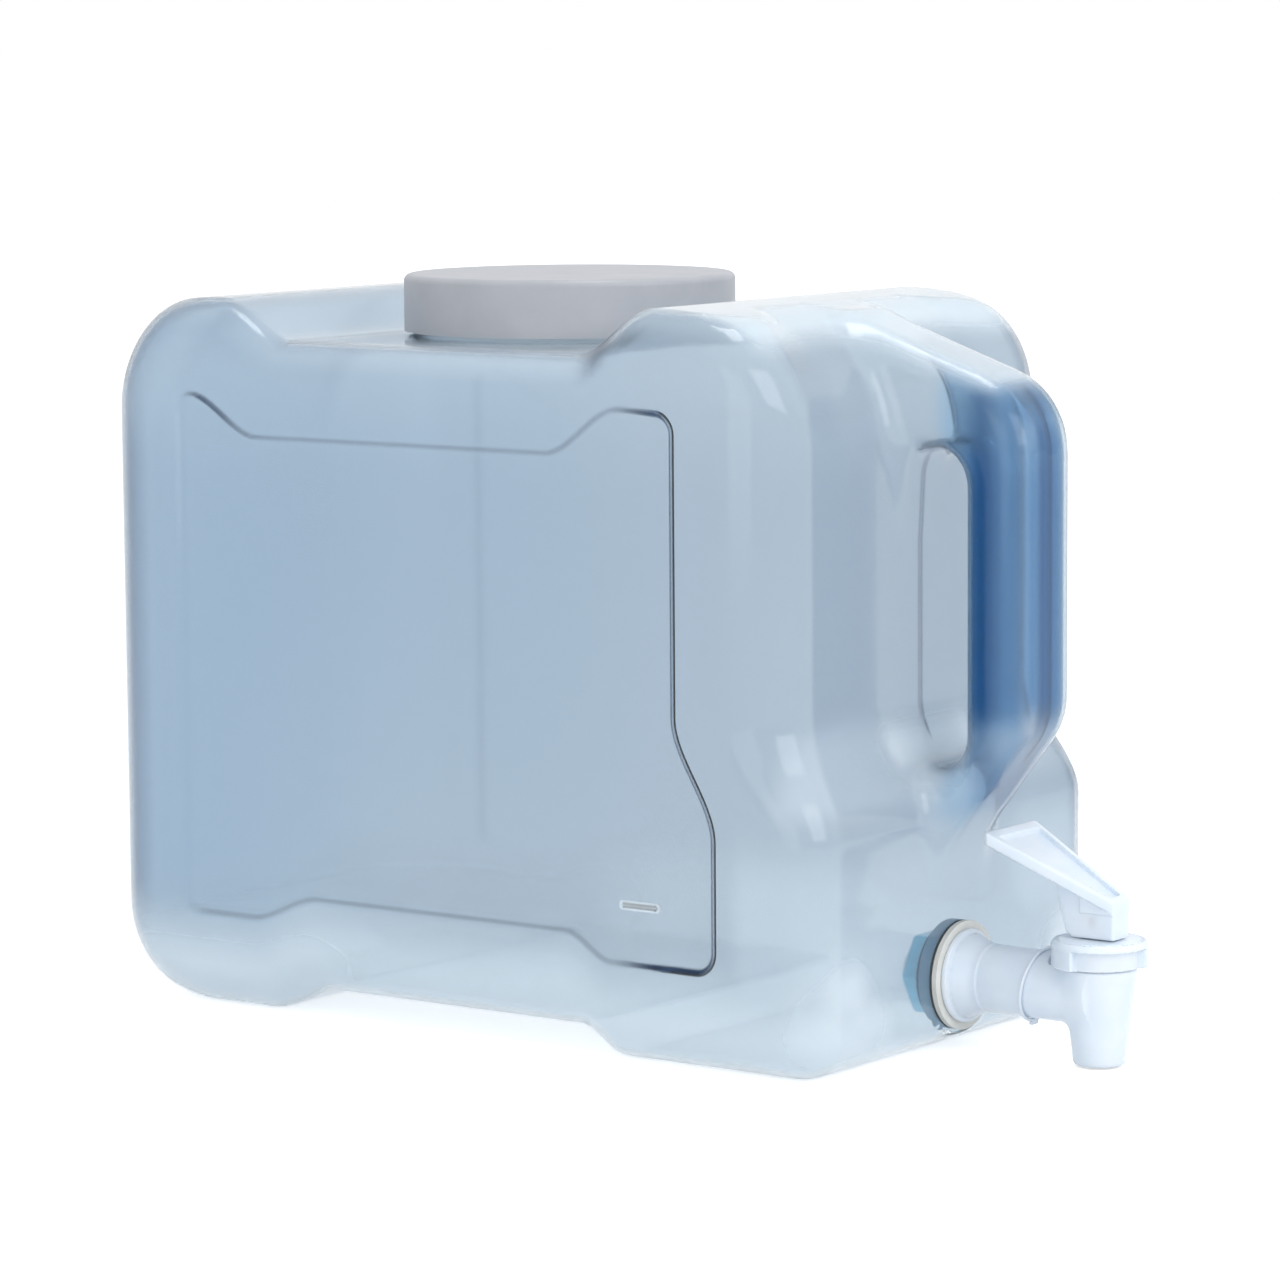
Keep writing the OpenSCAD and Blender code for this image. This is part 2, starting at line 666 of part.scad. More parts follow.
// Seat cup: a soft bell whose rim is held under the bonnet and whose foot closes the throat
cup_wall = 1.1;
cup_rim_r = 7.6;
module seat_cup() {
    color([0.93, 0.93, 0.9]) translate([valve_x, 0, 0]) rotate_extrude() polygon([
        [0, plug_z], [throat_d / 2 - 0.2, plug_z], [plug_r, plug_z + 0.9], [plug_r, plug_z + plug_t],
        [cup_rim_r, rim_z - 0.5], [cup_rim_r, rim_z], [spigot_r, rim_z], [spigot_r, rim_z + rim_t - seat_gap],
        [cup_rim_r - cup_wall, rim_z + rim_t - seat_gap], [cup_rim_r - cup_wall, rim_z - 1],
        [plug_r - 1, plug_z + plug_t], [0, plug_z + plug_t]]);
}

// Return spring between the stem's foot and the bonnet
spring_r = stem_d / 2 + wire_d / 2 + 0.9;
spring_low = foot_z + foot_t + wire_d / 2 + seat_gap / 2;
spring_high = plate_z - wire_d / 2 - seat_gap / 2;
turn_steps = 12;
wire_sides = 6;
function spring_ring(i) =
    let (a = 360 * i / turn_steps)
    let (z = spring_low + (spring_high - spring_low) * i / (spring_turns * turn_steps))
    [for (k = [0 : wire_sides - 1]) let (b = 360 * k / wire_sides)
        [(spring_r + wire_d / 2 * cos(b)) * cos(a), (spring_r + wire_d / 2 * cos(b)) * sin(a),
            z + wire_d / 2 * sin(b)]];
module return_spring() {
    rings = spring_turns * turn_steps + 1;
    last = (rings - 1) * wire_sides;
    color([0.6, 0.62, 0.64]) translate([valve_x, 0, 0])
        polyhedron(points = [for (i = [0 : rings - 1]) each spring_ring(i)],
            faces = concat(flipped(wall_faces(rings, wire_sides)), [[for (i = [wire_sides - 1 : -1 : 0]) i]],
                [[for (i = [0 : wire_sides - 1]) last + i]]));
}

bottle();
cap();
cap_liner();
tap_body();
tap_washer();
tap_gasket();
lock_nut();
collar_ring();
bonnet();
lever();
lever_pin();
valve_stem();
seat_cup();
return_spring();
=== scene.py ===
# Looks of the countertop liquid dispenser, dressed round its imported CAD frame.
# Blender's objects are in metres; sizes and shape functions are in mm, on the frame's axes and origin.
import math
import bmesh
import bpy
import numpy as np
from mathutils import Matrix, Vector


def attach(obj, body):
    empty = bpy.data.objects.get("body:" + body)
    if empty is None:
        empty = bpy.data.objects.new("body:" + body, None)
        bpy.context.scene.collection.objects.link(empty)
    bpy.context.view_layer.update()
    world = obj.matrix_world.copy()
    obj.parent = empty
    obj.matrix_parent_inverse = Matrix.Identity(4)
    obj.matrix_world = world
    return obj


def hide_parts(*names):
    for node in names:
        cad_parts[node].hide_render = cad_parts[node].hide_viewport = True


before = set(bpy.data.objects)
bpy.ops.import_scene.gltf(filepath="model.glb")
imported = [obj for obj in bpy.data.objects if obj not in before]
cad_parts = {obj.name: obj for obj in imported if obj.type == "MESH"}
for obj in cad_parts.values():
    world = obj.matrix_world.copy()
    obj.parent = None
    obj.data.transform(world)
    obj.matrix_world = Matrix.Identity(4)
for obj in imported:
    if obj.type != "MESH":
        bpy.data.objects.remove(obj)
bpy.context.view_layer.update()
MM = 0.001

# The camera fitted to the photograph
CAMERA_ANGLES = (36.04, 7.1, -0.4)  # azimuth, elevation and roll in degrees
CAMERA_TARGET = (-0.01045, 0, 0.12787)  # metres
CAMERA_DISTANCE = 1.8721  # metres
SENSOR_WIDTH = 36
LENS = 145.51
SHIFT_X = -0.00113
SHIFT_Y = 0.0140

# Blown bottle: its ends, half width, deck and the shoulders that rise at both ends of the deck
X_REAR = -199.4
X_FRONT = 126.6
HALF_W = 90.5
WALL = 1.6
MIDDLE_X = -40  # behind it the rear radii hold, ahead of it the front ones
DECK = 244.0  # height of the flat top under the cap
REAR_RISE = 14.7  # rise of the rear shoulder over the deck
FRONT_RISE = 16.5  # rise of the front shoulder over the deck
SLOPE_L = 32.0  # length of the slope from the deck to a shoulder
REAR_SHOULDER = 61.0  # length of the rear shoulder
FRONT_SHOULDER = 72.0  # length of the front shoulder
REAR_DROOP = 10.0  # how far the rear shoulder droops to its end
REAR_DROOP_L = 60.0  # length over which it droops
FRONT_DROOP = 12.0
FRONT_DROOP_L = 85.0
SETBACK = 16.5  # how far the front face steps back above the ledge
LEDGE_LOW = 80.0
LEDGE_HIGH = 122.0
ARCH_H = 9.3  # height of the arch between the two feet
REAR_FOOT = 78.5
FRONT_FOOT = 85.5
ARCH_REAR_L = 31.0
ARCH_FRONT_L = 20.0

# Radii of the upright corners, and of the top and base edges along the sides and at the ends
REAR_CORNER = 38.0
FRONT_CORNER = 16.5
UPPER_CORNER = 25.0  # front corners above the ledge
TOP_R = 12.0
REAR_TOP_R = 48.0
FRONT_TOP_R = 42.0
BASE_R = 15.0
REAR_BASE_R = 46.0
FRONT_BASE_R = 14.0
TURN_REACH = 4  # how far past its radius an end is felt
REAR_TURN = 1.5  # power by which the radius grows towards the rear end
FRONT_TURN = 2  # the same towards the front end

# Label panel, its level mark, and how wide the bend into the panel is
PANEL_DEPTH = 1.6  # depth of the panel in the side
PANEL_TOP = 34.5  # its outline, in from the top
PANEL_LOW = 35.3  # and up from the base
PANEL_FRONT = 43.0  # in from the front face
PANEL_REAR = 47.0  # in from the rear face
PANEL_SHIFT = 9  # how far its slopes lie behind those of the top
PANEL_ROUND = 7
PANEL_TOP_ROUND = 6
SOFT_BEND = 5.5  # width of the bend into the panel
CRISP_BEND = 1.6  # the same at the near front edge
CRISP_FROM_X = 50
MARK_X = X_FRONT - 74
MARK_Z = 55.5
MARK_HALF_L = 7.5
MARK_HALF_H = 0.5
MARK_OUT = 0.6

# Neck with its thread, and the grip over the finger slot
NECK_X = -41.4
NECK_R = 54.5
NECK_FOOT_Z = 225
MOUTH_Z = 262.4
NECK_THREAD_R = 1.0
NECK_PITCH = 5.08
NECK_THREAD_LOW = 251
NECK_THREAD_TOP = 261.5
NECK_START = 254  # height of the thread where it faces the tap
GRIP_HALF = 19.0  # half the grip's thickness
GRIP_ROUND = 11.0
GRIP_BLEND = 9
GRIP_REACH = 36  # how far it stands out from the front face
GRIP_CREST_X = 23  # how far behind the upper face its fall starts
GRIP_FALL = 0.346  # slope of its top
GRIP_HEEL_Z = 63.6
GRIP_TOP_Z = DECK + FRONT_RISE - 4
SLOT_L = 26
SLOT_TOP = 210.6
SLOT_BASE = 104.0

# Tap: the pad round its hole, the shank, flange, tube and barrel
TAP_Z = 25.9
PAD_R = 21.3  # flat round pad under the seals
PAD_REAR_X = 112
PAD_ROOM = 32  # radius inside which nothing stands ahead of the pad's face
VALVE_X = 182.6
SHANK_R = 8.9
SHANK_END_X = 107
SHANK_THREAD_X = 110
SHANK_PITCH = 2.4
SHANK_THREAD_H = 0.6
FLANGE_X = 128.4
FLANGE_R = 16.5
FLANGE_T = 2.2
STEP_R = 14.3  # raised ring on the flange
STEP_T = 3.6
TUBE_R = 12.0
TRUMPET_OUT = 2.6  # how far the tube widens towards the flange
TRUMPET_X = 2.4
TRUMPET_L = 8.5
TRUMPET_END = 11
SPOUT_R = 8.9
SPOUT_Z = 0.5
BARREL_SPREAD = 0.1228  # growth of the barrel's radius with height
BARREL_NORM = 1.0075  # length of that slope's normal, so that distances to it are true
BARREL_BLEND = 3.5
PASSAGE_R = 5.2
THROAT_Z = 12
SEAT_Z = 15
CHAMBER_Z = 17
SPOUT_BORE_R = 7
CHAMBER_LOW_R = 8.6
CHAMBER_R = 10.6
SPIGOT_R = 12.1  # the barrel's neck inside the bonnet
SPIGOT_TOP = 39.8

# Bonnet: its foot, the heights above it, and the two grips that stand off its skirt
BONNET_Z = 34.7
BONNET_H = 9.6
BONNET_R = 16.8
BONNET_EDGE = 2.2
BONNET_RIM_Z = 6.9
SKIRT_R = 13.9
SKIRT_H = 7.4
BONNET_ROOM = 17.4  # radius cleared above the barrel for the bonnet
BONNET_CEILING = 6.8
STEM_HOLE_R = 2.88
BONNET_GRIP_R = 16.6
BONNET_GRIP_H = 8.0
BONNET_GRIP_TURN = 50
BONNET_GRIP_HALF_ARC = 35
BONNET_BORE_R = 12.4
LIP_R = 14.9  # radius of the fine groove in the top
LIP_DEPTH = 0.35

# Lever: the recess, cheek and pin are placed from its front edge, heights are above the floor
LEVER_X = 191.1
BLOCK_HALF = 5.35
BLOCK_BASE = 44.7
HEEL_X = 172.42  # rear foot of the block
HEEL_CUT_X = 174.42  # where the cut across the heel meets the foot
HEEL_CUT_L = 2.48  # length of the cut along x
HEEL_CUT_H = 2  # and its height
HEEL_LEAN = 0.24  # how far the block's rear leans back with height
REAR_NORM = 1.0284  # length of the normal of the block's rear
HEEL_NORM = 3.186  # and of the cut
PADDLE_L = 45
PADDLE_RISE = 22
PADDLE_Z = 58.3
PADDLE_T = 4.6
PADDLE_HALF = 5.8  # half its width at the block
PADDLE_SPREAD = 11.2  # how much each side widens over its length
PADDLE_NORM = 1.03  # length of the normal of such a side
RECESS_HALF = 2.9
RECESS_REAR = -41.4
RECESS_FRONT = -2.6
RECESS_DEPTH = 2
CHEEK_OUT = 0.45  # how far the block stands proud round the pin
CHEEK_X = 13.4
CHEEK_Z = 53.6
JOINT_DEPTH = 0.35  # groove where the paddle leaves the block
PIN_X = 8.5  # behind the lever's front edge
PIN_Z = 50.5
PIN_R = 1.5
PIN_HALF = 4.8  # half its length
PIN_HOLE_R = 1.52
PIN_HOLE_HALF = 4.9
FORK_HALF = 2.55  # half the slot's width over the stem
FORK_RUN = 6.2
FORK_TOP = 54.5

# Lock nut and the round plate on its front
NUT_HALF = 13.5  # half its width across flats
NUT_REAR_X = 111.0
NUT_FRONT_X = 119
NUT_CHAMFER_R = 14.6  # where the chamfer of its rear starts
CHAMFER_NORM = 1.4142  # length of the chamfer's normal
NUT_PLATE_R = 17.0
NUT_PLATE_X = 118
NUT_PLATE_END = 120.5
RUNNING_GAP = 0.08


# ---------------------------------------------------------------- camera, stage, light
def make_camera():
    data = bpy.data.cameras.new("camera")
    cam = bpy.data.objects.new("camera", data)
    bpy.context.scene.collection.objects.link(cam)
    az, el, roll = [math.radians(angle) for angle in CAMERA_ANGLES]
    back = Vector((math.sin(az) * math.cos(el), -math.cos(az) * math.cos(el), math.sin(el)))
    right = Vector((math.cos(az), math.sin(az), 0))
    up = back.cross(right)
    side = right * math.cos(roll) + up * math.sin(roll)
    top = up * math.cos(roll) - right * math.sin(roll)
    place = Matrix.Translation(Vector(CAMERA_TARGET) + back * CAMERA_DISTANCE)
    cam.matrix_world = place @ Matrix((side, top, back)).transposed().to_4x4()
    data.sensor_width = SENSOR_WIDTH
    data.lens = LENS
    data.shift_x = SHIFT_X
    data.shift_y = SHIFT_Y
    data.clip_start = 0.05
    data.clip_end = 50
    bpy.context.scene.camera = cam


def nodes_of(mat):
    mat.use_nodes = True
    tree = mat.node_tree
    tree.nodes.clear()
    return tree.nodes, tree.links


def white_to_eye(nodes, links, shader, white):
    """Shows a plain white to camera, glossy and transmission rays, and the shader to all others."""
    path = nodes.new("ShaderNodeLightPath")
    seen = path.outputs["Is Camera Ray"]
    for ray in ("Is Glossy Ray", "Is Transmission Ray"):
        either = nodes.new("ShaderNodeMath")
        either.operation = "MAXIMUM"
        links.new(seen, either.inputs[0])
        links.new(path.outputs[ray], either.inputs[1])
        seen = either.outputs[0]
    mix = nodes.new("ShaderNodeMixShader")
    links.new(seen, mix.inputs[0])
    links.new(shader, mix.inputs[1])
    links.new(white, mix.inputs[2])
    return mix.outputs[0]


def make_world():
    world = bpy.data.worlds.new("studio")
    bpy.context.scene.world = world
    nodes, links = nodes_of(world)
    level = nodes.new("ShaderNodeBackground")
    level.inputs[0].default_value = (0.93, 0.965, 1.0, 1)
    level.inputs[1].default_value = 0.78
    white = nodes.new("ShaderNodeBackground")
    white.inputs[0].default_value = (1, 1, 1, 1)
    white.inputs[1].default_value = 1.0
    out = nodes.new("ShaderNodeOutputWorld")
    links.new(white_to_eye(nodes, links, level.outputs[0], white.outputs[0]), out.inputs[0])


def floor_material():
    """Pale paint that keeps the shadow, lifted to white for the eye, and plain white through plastic."""
    mat = bpy.data.materials.new("floor_pale")
    nodes, links = nodes_of(mat)
    paint = nodes.new("ShaderNodeBsdfDiffuse")
    paint.inputs[0].default_value = (0.86, 0.87, 0.88, 1)
    glow = nodes.new("ShaderNodeEmission")
    glow.inputs[0].default_value = (1, 1, 1, 1)
    glow.inputs[1].default_value = 0.62
    lit = nodes.new("ShaderNodeAddShader")
    links.new(paint.outputs[0], lit.inputs[0])
    links.new(glow.outputs[0], lit.inputs[1])
    plain = nodes.new("ShaderNodeEmission")
    plain.inputs[0].default_value = (1, 1, 1, 1)
    path = nodes.new("ShaderNodeLightPath")
    through = nodes.new("ShaderNodeMixShader")
    links.new(path.outputs["Is Transmission Ray"], through.inputs[0])
    links.new(white_to_eye(nodes, links, paint.outputs[0], lit.outputs[0]), through.inputs[1])
    links.new(plain.outputs[0], through.inputs[2])
    out = nodes.new("ShaderNodeOutputMaterial")
    links.new(through.outputs[0], out.inputs[0])
    return mat


def make_floor():
    bm = bmesh.new()
    bmesh.ops.create_grid(bm, x_segments=8, y_segments=8, size=6)
    mesh = bpy.data.meshes.new("floor")
    bm.to_mesh(mesh)
    bm.free()
    mesh.materials.append(floor_material())
    floor = bpy.data.objects.new("floor", mesh)
    floor.location = (0, 0, -0.0002)
    bpy.context.scene.collection.objects.link(floor)


def area_light(name, place, aim, size, power):
    data = bpy.data.lights.new(name, "AREA")
    data.shape = "RECTANGLE"
    data.size, data.size_y = size
    data.energy = power
    lamp = bpy.data.objects.new(name, data)
    lamp.location = place
    lamp.rotation_euler = (Vector(place) - Vector(aim)).to_track_quat("Z", "Y").to_euler()
    bpy.context.scene.collection.objects.link(lamp)


def make_lights():
    area_light("overhead", (0.1, 0.2, 1.7), (0, 0, 0.15), (0.65, 0.4), 5.5)
    area_light("front_right", (1.5, -0.3, 0.9), (0.05, 0, 0.12), (1.0, 1.0), 9)
    area_light("fill_near", (0.4, -1.7, 0.45), (0.05, 0, 0.1), (1.2, 1.0), 4)


# ---------------------------------------------------------------- implicit shapes (mm)
def ease(t):
    """Smooth step from 0 at t = 0 to 1 at t = 1."""
    t = np.clip(t, 0, 1)
    return t * t * (3 - 2 * t)


def ramp(x, start, length):
    """Smooth step from 0 at start to 1 a length further."""
    return ease((x - start) / length)


def hump(x, middle, width):
    """Bell of height 1 round its middle."""
    return np.exp(-((x - middle) / width) ** 2)


def ramp_slope(x, start, length):
    t = np.clip((x - start) / length, 0, 1)
    return 6 * t * (1 - t) / length


def droops(x):
    """How far along its droop each shoulder is, from 0 at its start to 1 at the bottle's end."""
    rear = np.clip((X_REAR + REAR_DROOP_L - x) / REAR_DROOP_L, 0, 1)
    return rear, np.clip((x - X_FRONT + FRONT_DROOP_L) / FRONT_DROOP_L, 0, 1)


def top_z(x):
    rear = ramp(x, X_REAR + REAR_SHOULDER, SLOPE_L)
    front = ramp(x, X_FRONT - FRONT_SHOULDER - SLOPE_L, SLOPE_L)
    low_rear, low_front = droops(x)
    level = DECK + REAR_RISE * (1 - rear) + FRONT_RISE * front
    return level - REAR_DROOP * low_rear ** 2 - FRONT_DROOP * low_front ** 2


def top_slope(x):
    rear = ramp_slope(x, X_REAR + REAR_SHOULDER, SLOPE_L)
    front = ramp_slope(x, X_FRONT - FRONT_SHOULDER - SLOPE_L, SLOPE_L)
    low_rear, low_front = droops(x)
    ends = REAR_DROOP * low_rear / REAR_DROOP_L - FRONT_DROOP * low_front / FRONT_DROOP_L
    return FRONT_RISE * front - REAR_RISE * rear + 2 * ends


def base_z(x):
    rear = ramp(x, X_REAR + REAR_FOOT, ARCH_REAR_L)
    return ARCH_H * (rear - ramp(x, X_FRONT - FRONT_FOOT - ARCH_FRONT_L, ARCH_FRONT_L))


def base_slope(x):
    rear = ramp_slope(x, X_REAR + REAR_FOOT, ARCH_REAR_L)
    return ARCH_H * (rear - ramp_slope(x, X_FRONT - FRONT_FOOT - ARCH_FRONT_L, ARCH_FRONT_L))


def front_x(z):
    return X_FRONT - SETBACK * ramp(z, LEDGE_LOW, LEDGE_HIGH - LEDGE_LOW)


def front_slope(z):
    return SETBACK * ramp_slope(z, LEDGE_LOW, LEDGE_HIGH - LEDGE_LOW)


def round_max(a, b, r):
    """Intersection of two half spaces whose common edge is rounded to radius r."""
    u = np.maximum(a + r, 0)
    v = np.maximum(b + r, 0)
    return np.hypot(u, v) - r + np.minimum(np.maximum(a, b) + r, 0)


def soft_min(a, b, k):
    """Union of two shapes with a blend about k wide between them."""
    h = np.clip(0.5 + 0.5 * (b - a) / k, 0, 1)
    return b * (1 - h) + a * h - k * h * (1 - h)


def slab(v, low, high):
    """Distance to the layer between two planes, negative inside."""
    return np.maximum(low - v, v - high)


def panel_margin(x, z):
    """Distance in from the label panel's outline, negative outside it."""
    left = X_REAR + PANEL_REAR - x
    low = (base_z(x) + PANEL_LOW - z) / np.hypot(1, base_slope(x))
    right = (x - front_x(z) + PANEL_FRONT) / np.hypot(1, front_slope(z))
    ahead = x + PANEL_SHIFT
    high = (z - top_z(ahead) + PANEL_TOP) / np.hypot(1, top_slope(ahead))
    lower = round_max(left, low, PANEL_ROUND)
    return -round_max(lower, round_max(right, high, PANEL_TOP_ROUND), PANEL_ROUND)


def unit(v):
    return v / np.linalg.norm(v)


def round_line(points, radii, steps=10):
    """A line of straight runs whose inner corners are arcs of the given radii."""
    points = [np.array(p, float) for p in points]
    line = [points[0]]
    for a, b, c, r in zip(points, points[1:], points[2:], radii):
        u, v = unit(b - a), unit(c - b)
        turn = math.acos(u @ v) * math.copysign(1, u[0] * v[1] - u[1] * v[0])
        start = b - u * r * math.tan(abs(turn) / 2)
        normal = math.copysign(1, turn) * np.array((-u[1], u[0]))
        centre = start + normal * r
        for i in range(steps + 1):
            t = turn * i / steps
            arm = start - centre
            line.append(centre + (arm[0] * math.cos(t) - arm[1] * math.sin(t),
                                  arm[0] * math.sin(t) + arm[1] * math.cos(t)))
    line.append(points[-1])
    return line


def grip_outline():
    """The grip seen from the side, with the finger slot cut out of it, as points in x and z."""
    x_upper = X_FRONT - SETBACK
    crest = x_upper - GRIP_CREST_X
    reach, inner = X_FRONT + GRIP_REACH, x_upper + SLOT_L
    outer = [(x_upper - 45, GRIP_TOP_Z - 9), (crest, GRIP_TOP_Z),
             (reach, GRIP_TOP_Z - GRIP_FALL * (reach - crest)), (reach, SLOT_BASE + 12.4),
             (X_FRONT - 4.5, GRIP_HEEL_Z)]
    slot = [(x_upper - 5, SLOT_TOP - 26), (x_upper - 0.4, SLOT_TOP), (inner, SLOT_TOP),
            (inner, SLOT_BASE), (x_upper + 5, SLOT_BASE - 8)]
    return np.array(round_line(outer, (6, 30, 25)) + round_line(slot, (13, 13, 12))[::-1])


GRIP_OUTLINE = grip_outline()


def polygon_distance(x, z, poly):
    """Signed distance to a polygon, negative inside."""
    best = np.full(x.shape, 1e9)
    inside = np.zeros(x.shape, bool)
    for (ax, az), (bx, bz) in zip(poly, np.roll(poly, -1, 0)):
        ex, ez = bx - ax, bz - az
        t = np.clip(((x - ax) * ex + (z - az) * ez) / (ex * ex + ez * ez), 0, 1)
        best = np.minimum(best, np.hypot(x - ax - t * ex, z - az - t * ez))
        if abs(ez) > 1e-9:
            inside ^= ((az > z) != (bz > z)) & (x < ax + ex * (z - az) / ez)
    return np.where(inside, -best, best)


def mark_field(p):
    """The raised level mark on the near label panel."""
    bar = round_max(np.abs(p[:, 0] - MARK_X) - MARK_HALF_L, np.abs(p[:, 2] - MARK_Z) - MARK_HALF_H, 0.4)
    floor = PANEL_DEPTH - HALF_W
    return round_max(bar, slab(p[:, 1], floor - MARK_OUT, floor + 1), 0.25)


def neck_field(p):
    """The neck's outside with the ridge of its thread."""
    y, z = p[:, 1], p[:, 2]
    r = np.hypot(p[:, 0] - NECK_X, y)
    neck = round_max(r - NECK_R, np.maximum(z - MOUTH_Z, NECK_FOOT_Z - z), 0.8)
    along = z - NECK_START - NECK_PITCH * np.arctan2(y, p[:, 0] - NECK_X) / (2 * np.pi)
    from_ridge = (along + NECK_PITCH / 2) % NECK_PITCH - NECK_PITCH / 2
    thread = np.hypot(r - NECK_R, from_ridge) - NECK_THREAD_R
    threaded = (z > NECK_THREAD_LOW) & (z < NECK_THREAD_TOP)
    return np.where(threaded, soft_min(neck, thread, 0.8), neck)


def body_field(p):
    """The bottle's body with its label panels, whose edges round off more towards the ends."""
    x, y, z = p[:, 0], np.abs(p[:, 1]), p[:, 2]
    crisp = ease((x - CRISP_FROM_X) / 20) * (p[:, 1] < 0)
    bend = SOFT_BEND - (SOFT_BEND - CRISP_BEND) * crisp
    side = y - HALF_W + PANEL_DEPTH * ease(panel_margin(x, z) / bend + 0.5)
    ends = np.maximum((x - front_x(z)) / np.hypot(1, front_slope(z)), X_REAR - x)
    rear = x < MIDDLE_X
    upper = FRONT_CORNER + (UPPER_CORNER - FRONT_CORNER) * ramp(z, LEDGE_LOW, LEDGE_HIGH - LEDGE_LOW)
    plan = round_max(ends, side, np.where(rear, REAR_CORNER, upper))
    end_top = np.where(rear, REAR_TOP_R, FRONT_TOP_R)
    u = np.maximum(ends + end_top + TURN_REACH, 0)
    v = np.maximum(side + end_top + TURN_REACH, 0)
    facing = u / np.hypot(u, v + 1e-6)
    facing = np.where(rear, facing ** REAR_TURN, facing ** FRONT_TURN)
    lid = (z - top_z(x)) / np.hypot(1, top_slope(x))
    foot = (base_z(x) - z) / np.hypot(1, base_slope(x))
    r_top = TOP_R + (end_top - TOP_R) * facing
    r_base = BASE_R + (np.where(rear, REAR_BASE_R, FRONT_BASE_R) - BASE_R) * facing
    return np.maximum(round_max(plan, lid, r_top), round_max(plan, foot, r_base))


def bottle_field(p):
    """Distance to the bottle's outer skin, about true near it."""
    x, y, z = p[:, 0], np.abs(p[:, 1]), p[:, 2]
    f = body_field(p)
    near = x > 40
    grip = np.full(x.shape, 99.0)
    flat = polygon_distance(x[near], z[near], GRIP_OUTLINE)
    grip[near] = round_max(flat, y[near] - GRIP_HALF, GRIP_ROUND)
    f = soft_min(f, grip, GRIP_BLEND)
    shank = np.hypot(y, z - TAP_Z)
    pad = round_max(shank - PAD_R, np.maximum(x - X_FRONT, PAD_REAR_X - x), 1.2)
    f = np.where(shank < PAD_ROOM, np.maximum(soft_min(f, pad, 3), x - X_FRONT), f)
    return soft_min(soft_min(f, neck_field(p), 3), mark_field(p), 0.3)


def gradient(field, p, step=0.05):
    """Slope of a field at points, by central differences."""
    g = np.empty_like(p)
    for a in range(3):
        d = np.zeros(3)
        d[a] = step
        g[:, a] = (field(p + d) - field(p - d)) / (2 * step)
    return g


def settle(field, p, rounds=4):
    """Moves points onto the field's zero surface along its gradient."""
    for _ in range(rounds):
        g = gradient(field, p)
        p = p - g * (field(p) / np.maximum((g * g).sum(1), 0.05))[:, None]
    return p


def surface_net(field, low, high, cell):
    """Quads over the zero surface of a field: one vertex in each cell that it crosses."""
    axes = [np.arange(low[a], high[a] + cell, cell) for a in range(3)]
    grid = np.stack(np.meshgrid(*axes, indexing="ij"), -1)
    shape = grid.shape[:3]
    value = field(grid.reshape(-1, 3)).reshape(shape)
    inside = value < 0
    total = np.zeros(tuple(n - 1 for n in shape) + (3,))
    count = np.zeros(total.shape[:3])
    for a in range(3):
        b, c = [i for i in range(3) if i != a]
        for ob in (0, 1):
            for oc in (0, 1):
                first, second = [None] * 3, [None] * 3
                first[a], second[a] = slice(0, shape[a] - 1), slice(1, shape[a])
                first[b] = second[b] = slice(ob, shape[b] - 1 + ob)
                first[c] = second[c] = slice(oc, shape[c] - 1 + oc)
                first, second = tuple(first), tuple(second)
                cut = inside[first] != inside[second]
                with np.errstate(divide="ignore", invalid="ignore"):
                    t = np.where(cut, value[first] / (value[first] - value[second]), 0)
                point = grid[first] + (grid[second] - grid[first]) * t[..., None]
                total += np.where(cut[..., None], point, 0)
                count += cut
    used = count > 0
    number = np.full(used.shape, -1)
    number[used] = np.arange(used.sum())
    verts = total[used] / count[used][:, None]
    quads = []
    for a in range(3):
        b, c = [(1, 2), (2, 0), (0, 1)][a]
        first, second = [slice(1, n - 1) for n in shape], [slice(1, n - 1) for n in shape]
        first[a], second[a] = slice(0, shape[a] - 1), slice(1, shape[a])
        cut = inside[tuple(first)] != inside[tuple(second)]
        at = np.argwhere(cut)
        at[:, b] += 1
        at[:, c] += 1
        away = inside[tuple(first)][cut]
        corners = []
        for db, dc in ((-1, -1), (0, -1), (0, 0), (-1, 0)):
            q = at.copy()
            q[:, b] += db
            q[:, c] += dc
            corners.append(number[q[:, 0], q[:, 1], q[:, 2]])
        quad = np.stack(corners, 1)
        quad[~away] = quad[~away][:, ::-1]
        quads.append(quad)
    return verts, np.concatenate(quads)


def refine(verts, faces, near):
    """Splits the faces with a corner where near() says, and returns vertices and faces."""
    bm = bmesh.new()
    for v in verts:
        bm.verts.new(v)
    bm.verts.ensure_lookup_table()
    for f in faces:
        bm.faces.new([bm.verts[i] for i in f])
    flags = near(np.asarray(verts))
    bm.verts.index_update()
    chosen = set()
    for f in bm.faces:
        if any(flags[v.index] for v in f.verts):
            chosen.update(f.edges)
    bmesh.ops.subdivide_edges(bm, edges=list(chosen), cuts=1, use_grid_fill=True)
    bm.verts.index_update()
    out = np.array([v.co for v in bm.verts])
    rings = [[v.index for v in f.verts] for f in bm.faces]
    bm.free()
    return out, rings


def link(name, mesh, material, body):
    """Puts a mesh in the scene as a piece that rides a body of the frame."""
    obj = bpy.data.objects.new(name, mesh)
    bpy.context.scene.collection.objects.link(obj)
    mesh.materials.append(material)
    mesh.shade_smooth()
    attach(obj, body)
    return obj


def bottle_detail(p):
    """Where the shell's net is split finer: the panels' edges, the grip's seam, the neck and the mark."""
    x, y, z = p[:, 0], np.abs(p[:, 1]), p[:, 2]
    seam = (y < 2) & (x > 100) & (z > 90) & (z < 222)
    neck = (np.abs(np.hypot(x - NECK_X, y) - NECK_R) < 3) & (z > 248)
    panel = (np.abs(panel_margin(x, z)) < 2.6) & (y > HALF_W - 3)
    return panel | seam | neck | mark_detail(p)


